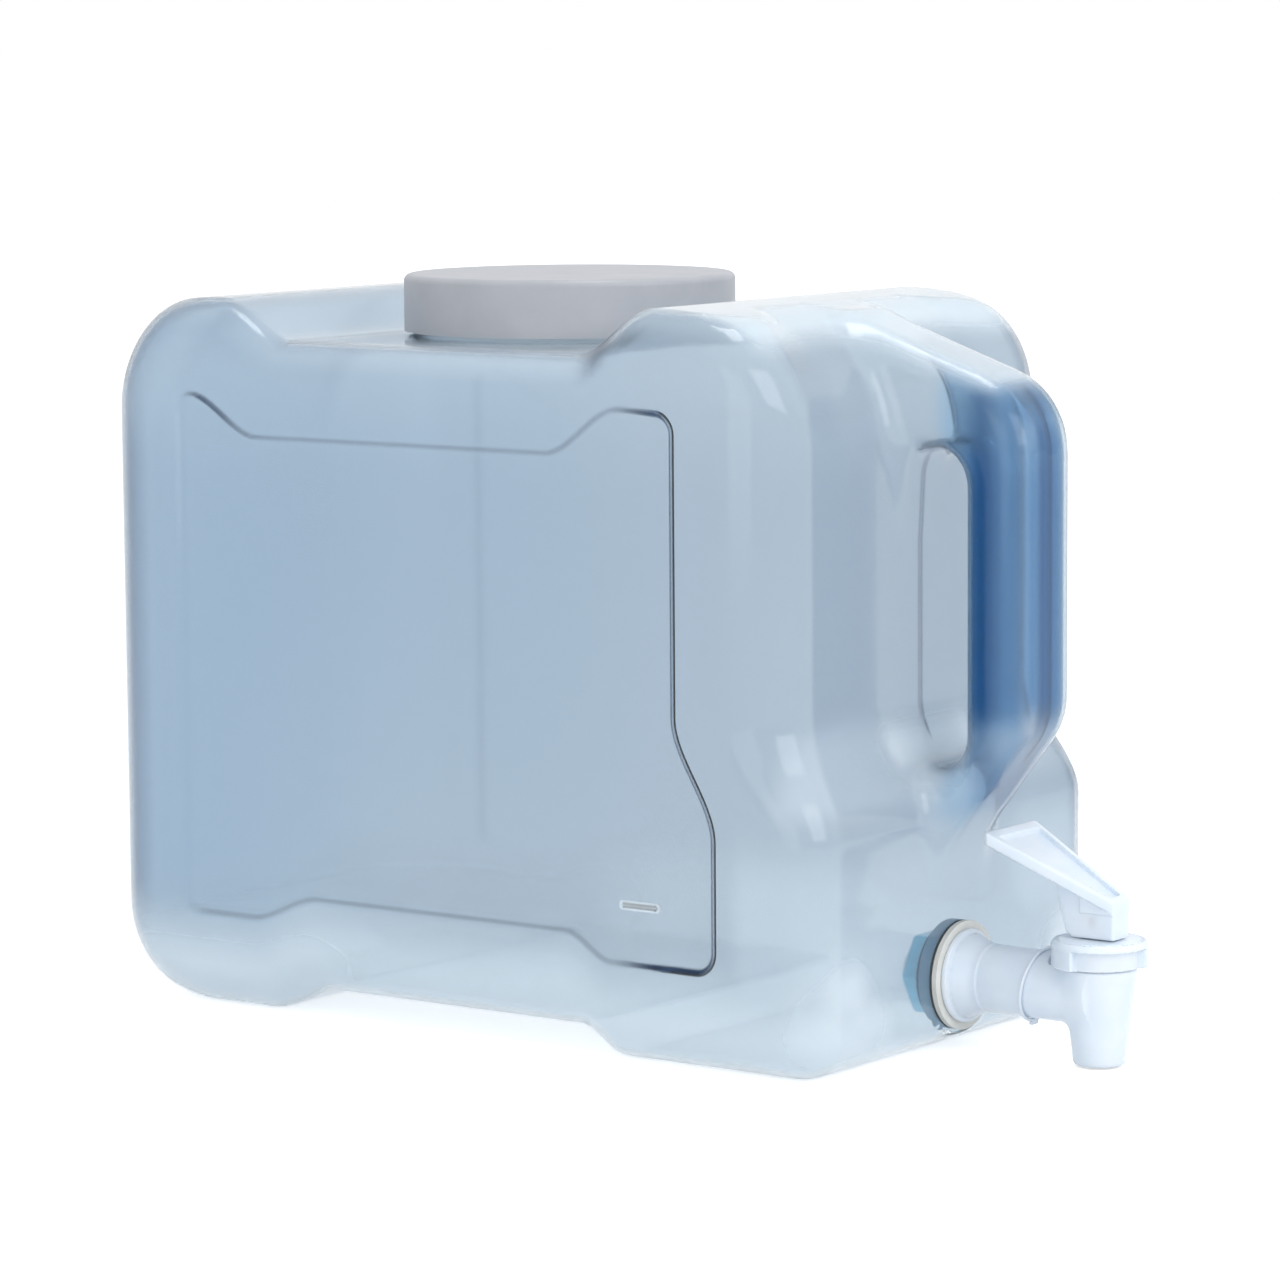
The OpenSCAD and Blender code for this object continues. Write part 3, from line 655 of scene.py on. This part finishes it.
def fine_detail(p):
    """Where it is split once more: the crisp edge of the near panel and the mark."""
    crisp = (np.abs(panel_margin(p[:, 0], p[:, 2])) < 1.4) & (p[:, 0] > CRISP_FROM_X) & on_near_side(p)
    return mark_detail(p) | crisp


def on_near_side(p):
    return p[:, 1] < 3 - HALF_W


def mark_detail(p):
    return (np.abs(p[:, 0] - MARK_X) < 10) & (np.abs(p[:, 2] - MARK_Z) < 3) & on_near_side(p)


def grip_tones(x, y, z):
    """How far points belong to the grip, its deep blue, and the painted highlight along its bright outer
    corner.
    """
    grip = ramp(x, X_FRONT - 2, 10) * ramp(z, 72, 25)
    outer = ramp(x, 160, 2) * (1 - ramp(np.abs(y), 5, 4))
    deep = grip * (0.9 * hump(x, 146, 6) + 0.1 * ramp(x, 152, 4) + 0.4 * outer)
    # Painted highlight along the grip's outer corner.
    edge = grip * hump(x, 161.5, 2) * ramp(np.abs(y), 6, 3)
    return grip, deep, edge


def shade_and_seam_lines(x, y, z, margin):
    """Dark lines: painted shade along the label panel's edge and the foot of the front shoulder, and the
    grip's mould seam.
    """
    on_side = ramp(np.abs(y), HALF_W - 6, 4)
    arc = 0.8 * hump(x, -138, 16) * ramp(z, 190, 10)
    strength = ramp(x, -152, 12) * (0.3 + arc) + 0.7 * ramp(x, 40, 20)
    # Painted shade: a dark line where the side bends into the label panel, mostly on the near side.
    panel = on_side * (1 - ramp(np.abs(margin), 0.5, 0.7)) * strength * np.where(y < 0, 1.0, 0.05)
    # Painted shade in the crease at the foot of the front shoulder.
    crease = 0.5 * hump(x, 35, 5) * ramp(z - top_z(x), -14, 8) * ramp(-y, 62, 8)
    outer_seam = ramp(x, 150, 6) * ramp(z, 90, 12)
    slot_seam = ease((116 - x) / 3) * ramp(x, 106, 3) * ramp(z, 105, 8) * ease((215 - z) / 5)
    return panel + crease + 0.8 * hump(y, 0, 0.7) * (outer_seam + slot_seam)


def bottle_tones(p):
    """How blue and deep the plastic is at points of the shell, how pale and milky where highlights and
    light are painted, and how dark-lined by painted shade and the grip's seam, each 0 to 1.
    """
    x, y, z = p[:, 0], p[:, 1], p[:, 2]
    out = np.abs(y)
    margin = panel_margin(x, z)
    grip, deep, edge = grip_tones(x, y, z)
    rear_blue = 0.18 * ease((-20 - x) / 120)
    # Painted light: paler towards the base, less inside the label panel.
    low = (1 - ramp(z - base_z(x), 14, 30)) * (1 - 0.5 * ease(margin / 4))
    # Painted highlight: paler and milkier along the top's rounded edges (less on the sides) and along the
    # grip's ridge.
    high = ramp(z - top_z(x), -13, 10) * ramp(x, -175, 30) * (0.6 + 0.4 * ramp(x, -110, 90))
    high = high * (1 - 0.7 * ramp(out, 76, 8))
    ridge = ramp(z + GRIP_FALL * (x - 87), GRIP_TOP_Z - 8, 7) * ramp(x, 88, 10) * (1 - ramp(x, 146, 10))
    high = np.maximum(high * (1 - grip), 0.9 * ridge)
    # Painted highlights: the front ledge, the shelf under the finger slot, the near lower front corner and
    # the lower front face are made paler and milkier.
    ledge = ramp(x, X_FRONT - 24, 12) * ramp(z, 84, 12) * ease((124 - z) / 12)
    shelf = hump(z, 108, 8) * ramp(x, 104, 6) * ease((142 - x) / 6) * ease((34 - out) / 12)
    corner = ramp(x, 108, 10) * hump(out, 70, 18) * hump(z, 30, 17)
    front = ramp(x, 88, 10) * (1 - ramp(z, 62, 30)) * (1 - ease(margin / 3 + 1))
    by_tap = ramp(x, 116, 6) * (1 - ramp(out, 38, 12))
    mark = (mark_field(p) < 1.2) & (y < 0)
    # pale gathers painted light and painted highlights: the paler base, the top's and grip's highlights,
    # the ledge, the upper part, the front spots and the shelf, with the level mark's white.
    pale = low + 0.8 * high + 0.3 * ledge + 0.8 * edge + 0.22 * ramp(z, 190, 50)
    for spot in (mark, 0.5 * front, corner, 0.9 * shelf):
        pale = np.maximum(pale, spot)
    # Painted light: milkier towards the base and more at the rear, but not round the tap.
    painted_light_milk_low = (0.42 + 0.3 * ease((-60 - x) / 60)) * low * (1 - by_tap)
    # Milkier where highlights and light are painted, and on the level mark.
    milk_and_painted_light = np.maximum(0.8 * high + 0.5 * ledge + painted_light_milk_low + 0.8 * corner + 0.7 * shelf, mark)
    blue = np.maximum(rear_blue, 0.8 * grip)
    tones = {"blue": blue, "deep": deep, "pale": pale, "milk_and_painted_light": milk_and_painted_light, "line": shade_and_seam_lines(x, y, z, margin)}
    return {name: np.clip(value, 0, 1) for name, value in tones.items()}


def open_mouth(verts, faces):
    """Takes the faces that close the mouth away, with the points that only they used."""
    radius = np.hypot(verts[:, 0] - NECK_X, verts[:, 1])
    closing = (verts[:, 2] > MOUTH_Z - 0.6) & (radius < NECK_R - 2)
    faces = [f for f in faces if not all(closing[i] for i in f)]
    used = np.unique(np.concatenate([np.array(f) for f in faces]))
    number = np.full(len(verts), -1)
    number[used] = np.arange(len(used))
    return verts[used], [[number[i] for i in f] for f in faces]


def double_skin(faces, n):
    """Faces of the outer skin, of the inner skin, whose n points follow, and of the rim between them."""
    edges = {}
    for f in faces:
        for i, j in zip(f, f[1:] + f[:1]):
            edges[(i, j)] = True
    rim = [(j, i, i + n, j + n) for (i, j) in edges if (j, i) not in edges]
    return [tuple(f) for f in faces] + [tuple(i + n for i in reversed(f)) for f in faces] + rim


def bottle_shell(material):
    """The blown shell: the outer skin of the field, and an inner skin one wall inside it."""
    low, high, cell = (-204, -94, -3), (167, 94, 266), 3.0
    verts, faces = surface_net(bottle_field, low, high, cell)
    verts = settle(bottle_field, verts)
    for near in (bottle_detail, bottle_detail, fine_detail):
        verts, faces = refine(verts, faces, near)
        verts = settle(bottle_field, verts, 2)
    verts, faces = open_mouth(verts, faces)
    normals = gradient(bottle_field, verts)
    normals /= np.linalg.norm(normals, axis=1)[:, None]
    inner = verts - normals * WALL
    mesh = bpy.data.meshes.new("bottle_shell")
    mesh.from_pydata((np.concatenate([verts, inner]) * MM).tolist(), [], double_skin(faces, len(verts)))
    mesh.update()
    shell = link("bottle_shell", mesh, material, "bottle")
    mesh.normals_split_custom_set_from_vertices(np.concatenate([normals, -normals]).tolist())
    for name, values in bottle_tones(verts).items():
        layer = mesh.attributes.new(name, "FLOAT", "POINT")
        layer.data.foreach_set("value", np.tile(values, 2).astype(np.float32))
    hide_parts("bottle")


# ---------------------------------------------------------------- tap pieces (mm)
def net_piece(name, field, box, cell, material, node, body="bottle"):
    """A piece made from its distance field, standing in for the frame's node of the same shape."""
    verts, faces = surface_net(field, *box, cell)
    verts = settle(field, verts, 5)
    normals = gradient(field, verts, 0.03)
    normals /= np.maximum(np.linalg.norm(normals, axis=1), 1e-9)[:, None]
    mesh = bpy.data.meshes.new(name)
    mesh.from_pydata((verts * MM).tolist(), [], faces.tolist())
    mesh.update()
    piece = link(name, mesh, material, body)
    mesh.normals_split_custom_set_from_vertices(normals.tolist())
    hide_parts(node)
    return piece


def tap_field(p):
    """The tap's body: threaded shank, stepped flange, tube, tapered barrel and spigot, less its bores."""
    x, y, z = p[:, 0], p[:, 1], p[:, 2]
    r = np.hypot(y, z - TAP_Z)
    q = np.hypot(x - VALVE_X, y)
    thread = SHANK_THREAD_H / 2 * (1 - np.cos(2 * np.pi * x / SHANK_PITCH))
    threaded = r - SHANK_R + thread * (x < SHANK_THREAD_X)
    shank = round_max(threaded, slab(x, SHANK_END_X, FLANGE_X + 1.6), 0.4)
    flange = round_max(r - FLANGE_R, slab(x, FLANGE_X, FLANGE_X + FLANGE_T), 0.8)
    step = round_max(r - STEP_R, slab(x, FLANGE_X, FLANGE_X + STEP_T), 0.6)
    trumpet = r - TUBE_R - TRUMPET_OUT * (1 - ease((x - FLANGE_X - TRUMPET_X) / TRUMPET_L))
    tube = np.maximum(r - TUBE_R, slab(x, FLANGE_X, VALVE_X))
    tube = soft_min(tube, np.maximum(trumpet, slab(x, FLANGE_X, FLANGE_X + TRUMPET_END)), 0.8)
    tube = soft_min(tube, np.minimum(flange, step), 1.2)
    wall = (q - SPOUT_R - (z - SPOUT_Z) * BARREL_SPREAD) / BARREL_NORM
    barrel = round_max(wall, slab(z, SPOUT_Z, BONNET_Z), 1.5)
    body = soft_min(tube, barrel, BARREL_BLEND)
    body = np.maximum(body, -np.maximum(q - BONNET_ROOM, BONNET_Z - z))
    body = np.minimum(body, np.maximum(q - SPIGOT_R, slab(z, BONNET_Z - 1, SPIGOT_TOP)))
    body = np.minimum(body, shank)
    heights = (THROAT_Z - 0.1, THROAT_Z + 0.1, SEAT_Z, CHAMBER_Z, BONNET_Z)
    bore = np.interp(z, heights, (SPOUT_BORE_R, PASSAGE_R, PASSAGE_R, CHAMBER_LOW_R, CHAMBER_R))
    hollow = np.minimum(np.maximum(r - PASSAGE_R, x - VALVE_X), q - bore)
    return np.maximum(body, -hollow)


def bonnet_field(p):
    """The bonnet: a round rim over a skirt with two broad grips, and a fine groove in its top."""
    x, y, h = p[:, 0] - VALVE_X, p[:, 1], p[:, 2] - BONNET_Z
    q = np.hypot(x, y)
    skirt = np.maximum(q - SKIRT_R, slab(h, 0, SKIRT_H))
    rim = np.maximum(round_max(q - BONNET_R, h - BONNET_H, BONNET_EDGE), BONNET_RIM_Z - h)
    angle = np.degrees(np.arctan2(y, x)) - BONNET_GRIP_TURN
    turn = np.abs((angle + 90) % 180 - 90) - BONNET_GRIP_HALF_ARC
    sides = np.maximum(np.radians(turn) * q, slab(h, 0, BONNET_GRIP_H))
    grip = round_max(q - BONNET_GRIP_R, sides, 0.8)
    body = soft_min(soft_min(skirt, rim, 0.8), np.maximum(grip, 8 - q), 0.8)
    groove = np.hypot(q - LIP_R, h - BONNET_H) - LIP_DEPTH
    body = np.maximum(body, -groove)
    return np.maximum(body, -np.minimum(np.maximum(q - BONNET_BORE_R, h - BONNET_CEILING), q - STEM_HOLE_R))


def lever_field(p):
    """The lever: a block on the stem's pin, and a paddle with a thumb recess that widens to the bottle."""
    u, y, z = p[:, 0] - LEVER_X, np.abs(p[:, 1]), p[:, 2]
    lean = math.hypot(1, PADDLE_RISE / PADDLE_L)
    above = (z - PADDLE_Z + u * PADDLE_RISE / PADDLE_L) / lean
    spread = u * PADDLE_SPREAD / PADDLE_L
    plan = round_max((y - PADDLE_HALF + spread) / PADDLE_NORM, slab(u, -PADDLE_L, 0), 1.6)
    paddle = round_max(plan, np.maximum(above, -PADDLE_T / lean - above), 0.9)
    thumb = round_max((y - RECESS_HALF + spread) / PADDLE_NORM, slab(u, RECESS_REAR, RECESS_FRONT), 1.2)
    recess = round_max(thumb, -above - RECESS_DEPTH / lean, 0.5)
    rear = (HEEL_X - HEEL_LEAN * (z - BLOCK_BASE) - LEVER_X - u) / REAR_NORM
    heel = (-HEEL_CUT_H * (u + LEVER_X - HEEL_CUT_X) - HEEL_CUT_L * (z - BLOCK_BASE)) / HEEL_NORM
    proud = CHEEK_OUT * ease((u + CHEEK_X) / 0.6 + 0.5) * ease((z - CHEEK_Z) / 0.6 + 0.5)
    flat = np.maximum(np.maximum(rear, heel), np.maximum(u, BLOCK_BASE - z))
    block = np.maximum(round_max(y - BLOCK_HALF - proud, flat, 0.7), above + 0.45)
    under = above + PADDLE_T / lean + 0.15
    joint = np.maximum(np.hypot(under, np.maximum(u + CHEEK_X, 0)) - JOINT_DEPTH, 5 - y)
    body = np.maximum(np.minimum(paddle, block), -np.minimum(joint, recess))
    slot = np.maximum(y - FORK_HALF, np.maximum(np.abs(u + PIN_X) - FORK_RUN, z - FORK_TOP))
    hole = np.maximum(np.hypot(u + PIN_X, z - PIN_Z) - PIN_HOLE_R, y - PIN_HOLE_HALF)
    return np.maximum(body, -np.minimum(slot, hole))


def pin_field(p):
    side = np.abs(p[:, 1]) - PIN_HALF
    return round_max(np.hypot(p[:, 0] - VALVE_X, p[:, 2] - PIN_Z) - PIN_R, side, 0.3)


def nut_field(p):
    """The lock nut: a hexagon chamfered at its rear, with a round plate that faces the wall."""
    x, y, z = p[:, 0], p[:, 1], p[:, 2] - TAP_Z
    r = np.hypot(y, z)
    flats = np.full(x.shape, -99.0)
    for k in range(6):
        a = math.radians(30 + 60 * k)
        flats = np.maximum(flats, y * math.cos(a) + z * math.sin(a) - NUT_HALF)
    hexagon = round_max(flats, slab(x, NUT_REAR_X, NUT_FRONT_X), 0.7)
    hexagon = np.maximum(hexagon, (r - NUT_CHAMFER_R - (x - NUT_REAR_X)) / CHAMFER_NORM)
    plate = round_max(r - NUT_PLATE_R, slab(x, NUT_PLATE_X, NUT_PLATE_END), 0.6)
    return np.maximum(soft_min(hexagon, plate, 0.8), SHANK_R + RUNNING_GAP - r)


def tap_pieces():
    net_piece("tap_shell", tap_field, ((105, -18.2, -1), (201, 18.2, 44)), 0.8, TAP, "tap_body")
    net_piece("bonnet_shell", bonnet_field, ((164, -18.2, 33.5), (201, 18.2, 46)), 0.6, TAP, "bonnet")
    net_piece("lever_shell", lever_field, ((144, -18.4, 43.5), (193, 18.4, 82)), 0.6, TAP, "lever",
              body="lever")
    net_piece("pin_shell", pin_field, ((180.5, -5.4, 48.4), (184.7, 5.4, 52.6)), 0.35, STEEL, "lever_pin",
              body="lever")
    net_piece("nut_shell", nut_field, ((109.5, -18.2, 7), (122, 18.2, 45)), 0.7, NUT, "lock_nut")


# ---------------------------------------------------------------- materials
def principled(name, **values):
    mat = bpy.data.materials.new(name)
    nodes, links = nodes_of(mat)
    shader = nodes.new("ShaderNodeBsdfPrincipled")
    for key, value in values.items():
        shader.inputs[key.replace("_", " ")].default_value = value
    out = nodes.new("ShaderNodeOutputMaterial")
    links.new(shader.outputs[0], out.inputs["Surface"])
    return mat, nodes, links, shader


def noise(nodes, links, scale, detail=2.0):
    tex = nodes.new("ShaderNodeTexNoise")
    tex.inputs["Scale"].default_value = scale
    tex.inputs["Detail"].default_value = detail
    links.new(nodes.new("ShaderNodeTexCoord").outputs["Object"], tex.inputs["Vector"])
    return tex.outputs["Fac"]


def ramp_colour(nodes, links, factor, stops):
    node = nodes.new("ShaderNodeValToRGB")
    for i, (at, colour) in enumerate(stops):
        if i > 1:
            node.color_ramp.elements.new(at)
        node.color_ramp.elements[i].position = at
        node.color_ramp.elements[i].color = (*colour, 1)
    links.new(factor, node.inputs[0])
    return node.outputs[0]


def mottle(nodes, links, shader, dark, light, scale, detail=2.0):
    """Lets the base colour wander between two near colours."""
    colour = ramp_colour(nodes, links, noise(nodes, links, scale, detail), [(0.3, dark), (0.7, light)])
    links.new(colour, shader.inputs["Base Color"])


def add_bump(nodes, links, shader, height, strength, distance):
    bump = nodes.new("ShaderNodeBump")
    bump.inputs["Strength"].default_value = strength
    bump.inputs["Distance"].default_value = distance
    links.new(height, bump.inputs["Height"])
    links.new(bump.outputs[0], shader.inputs["Normal"])


def attribute(nodes, name):
    """One of the tones stored on the shell's points."""
    node = nodes.new("ShaderNodeAttribute")
    node.attribute_name = name
    return node.outputs["Fac"]


def map_range(nodes, links, value, source=(0.0, 1.0), target=(0.0, 1.0)):
    node = nodes.new("ShaderNodeMapRange")
    node.inputs["From Min"].default_value, node.inputs["From Max"].default_value = source
    node.inputs["To Min"].default_value, node.inputs["To Max"].default_value = target
    links.new(value, node.inputs["Value"])
    return node.outputs[0]


def mix_colour(nodes, links, factor, first, second, blend="MIX"):
    """Mixes two colours, each a tuple or a socket, by a factor that is a number or a socket."""
    node = nodes.new("ShaderNodeMix")
    node.data_type = "RGBA"
    node.blend_type = blend
    for socket, value in ((node.inputs[0], factor), (node.inputs[6], first), (node.inputs[7], second)):
        if isinstance(value, tuple):
            socket.default_value = (*value, 1)
        elif isinstance(value, float):
            socket.default_value = value
        else:
            links.new(value, socket)
    return node.outputs[2]


def blown_plastic():
    """Clear blue plastic, made bluer, deeper, paler, milkier or lined by tones stored on the shell; the
    pale and milky tones paint highlights and light, the lines paint shade.
    """
    mat, nodes, links, shader = principled("blown_plastic", IOR=1.2, Roughness=0.12,
                                           Coat_Weight=0.35, Coat_Roughness=0.08, Coat_IOR=1.4)
    tone = noise(nodes, links, 4.0, 1.0)
    tint = ramp_colour(nodes, links, tone, [(0.3, (0.625, 0.71, 0.79)), (0.7, (0.68, 0.745, 0.805))])
    edge = nodes.new("ShaderNodeLayerWeight")
    edge.inputs["Blend"].default_value = 0.5
    turned = map_range(nodes, links, edge.outputs["Facing"], source=(0.35, 0.88))
    layers = ((attribute(nodes, "blue"), (0.38, 0.61, 0.82)),
              (attribute(nodes, "deep"), (0.01, 0.18, 0.42)),
              (turned, (0.06, 0.14, 0.26)),
              # Paler for painted highlights and painted light; dark lines of painted shade and the grip's
              # seam.
              (attribute(nodes, "pale"), (0.87, 0.945, 1.0)),
              (attribute(nodes, "line"), (0.02, 0.05, 0.11)))
    for factor, colour in layers:
        tint = mix_colour(nodes, links, factor, tint, colour)
    links.new(tint, shader.inputs["Base Color"])
    # Less clear where highlights and light are painted, so the lamps whiten it.
    clear = map_range(nodes, links, attribute(nodes, "milk_and_painted_light"), target=(0.95, 0.5))
    links.new(clear, shader.inputs["Transmission Weight"])
    return mat


def cap_plastic():
    mat, nodes, links, shader = principled("cap_plastic", Roughness=0.42, IOR=1.5)
    mottle(nodes, links, shader, (0.40, 0.41, 0.44), (0.44, 0.445, 0.475), 60.0, 3.0)
    add_bump(nodes, links, shader, noise(nodes, links, 1800.0), 0.06, 0.0004)
    return mat


def tap_plastic():
    mat, nodes, links, shader = principled("tap_plastic", Roughness=0.24, IOR=1.5, Subsurface_Weight=0.35,
                                           Subsurface_Scale=0.004, Subsurface_Radius=(0.8, 0.9, 1.0))
    mottle(nodes, links, shader, (0.74, 0.82, 0.92), (0.80, 0.86, 0.94), 80.0)
    add_bump(nodes, links, shader, noise(nodes, links, 500.0), 0.05, 0.0004)
    return mat


def rubber(name, dark, light, rough):
    mat, nodes, links, shader = principled(name, Roughness=rough, IOR=1.5)
    mottle(nodes, links, shader, dark, light, 150.0, 3.0)
    add_bump(nodes, links, shader, noise(nodes, links, 2500.0), 0.12, 0.0003)
    return mat


def nut_plastic():
    """Painted shade and light: navy on the plate that faces the wall and at the hexagon's rear, for the
    shade between nut, gasket and wall, and pale blue on the hexagon for its lit faces seen through the blue
    wall.
    """
    mat, nodes, links, shader = principled("nut_plastic", Roughness=0.25, IOR=1.5)
    parts = nodes.new("ShaderNodeSeparateXYZ")
    links.new(nodes.new("ShaderNodeTexCoord").outputs["Object"], parts.inputs[0])
    ends = (NUT_REAR_X * MM, NUT_PLATE_END * MM)
    along = map_range(nodes, links, parts.outputs["X"], source=ends)
    # Painted shade in navy at both ends, painted light in pale blue between.
    tone = ramp_colour(nodes, links, along, [
        (0.0, (0.10, 0.20, 0.32)), (0.10, (0.34, 0.78, 1.0)), (0.6, (0.38, 0.80, 1.0)),
        (0.72, (0.01, 0.04, 0.09)), (1.0, (0.02, 0.05, 0.11))])
    grain = noise(nodes, links, 300.0)
    speck = ramp_colour(nodes, links, grain, [(0.3, (0.85, 0.85, 0.85)), (0.7, (1, 1, 1))])
    links.new(mix_colour(nodes, links, 1.0, tone, speck, "MULTIPLY"), shader.inputs["Base Color"])
    return mat


def steel():
    mat, nodes, links, shader = principled("spring_steel", Metallic=1.0, Roughness=0.3)
    mottle(nodes, links, shader, (0.55, 0.56, 0.58), (0.68, 0.69, 0.71), 900.0)
    add_bump(nodes, links, shader, noise(nodes, links, 3000.0, 1.0), 0.05, 0.0002)
    return mat


def dress(node, material):
    """Gives one of the frame's own pieces a material."""
    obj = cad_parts[node]
    obj.data.materials.clear()
    obj.data.materials.append(material)
    for poly in obj.data.polygons:
        poly.material_index = 0


make_camera()
make_world()
make_floor()
make_lights()

PLASTIC = blown_plastic()
CAP = cap_plastic()
TAP = tap_plastic()
WASHER = rubber("washer_rubber", (0.72, 0.71, 0.66), (0.80, 0.79, 0.74), 0.5)
GASKET = rubber("gasket_rubber", (0.15, 0.30, 0.42), (0.19, 0.35, 0.47), 0.6)
NUT = nut_plastic()
FOAM = rubber("liner_foam", (0.80, 0.80, 0.78), (0.86, 0.86, 0.84), 0.8)
STEEL = steel()

bottle_shell(PLASTIC)
tap_pieces()
dressed = {"cap": CAP, "cap_liner": FOAM, "tap_washer": WASHER, "tap_gasket": GASKET, "collar_ring": TAP,
           "valve_stem": TAP, "seat_cup": FOAM, "return_spring": STEEL}
for node, material in dressed.items():
    dress(node, material)

view = bpy.context.scene.view_settings
view.view_transform = "Standard"
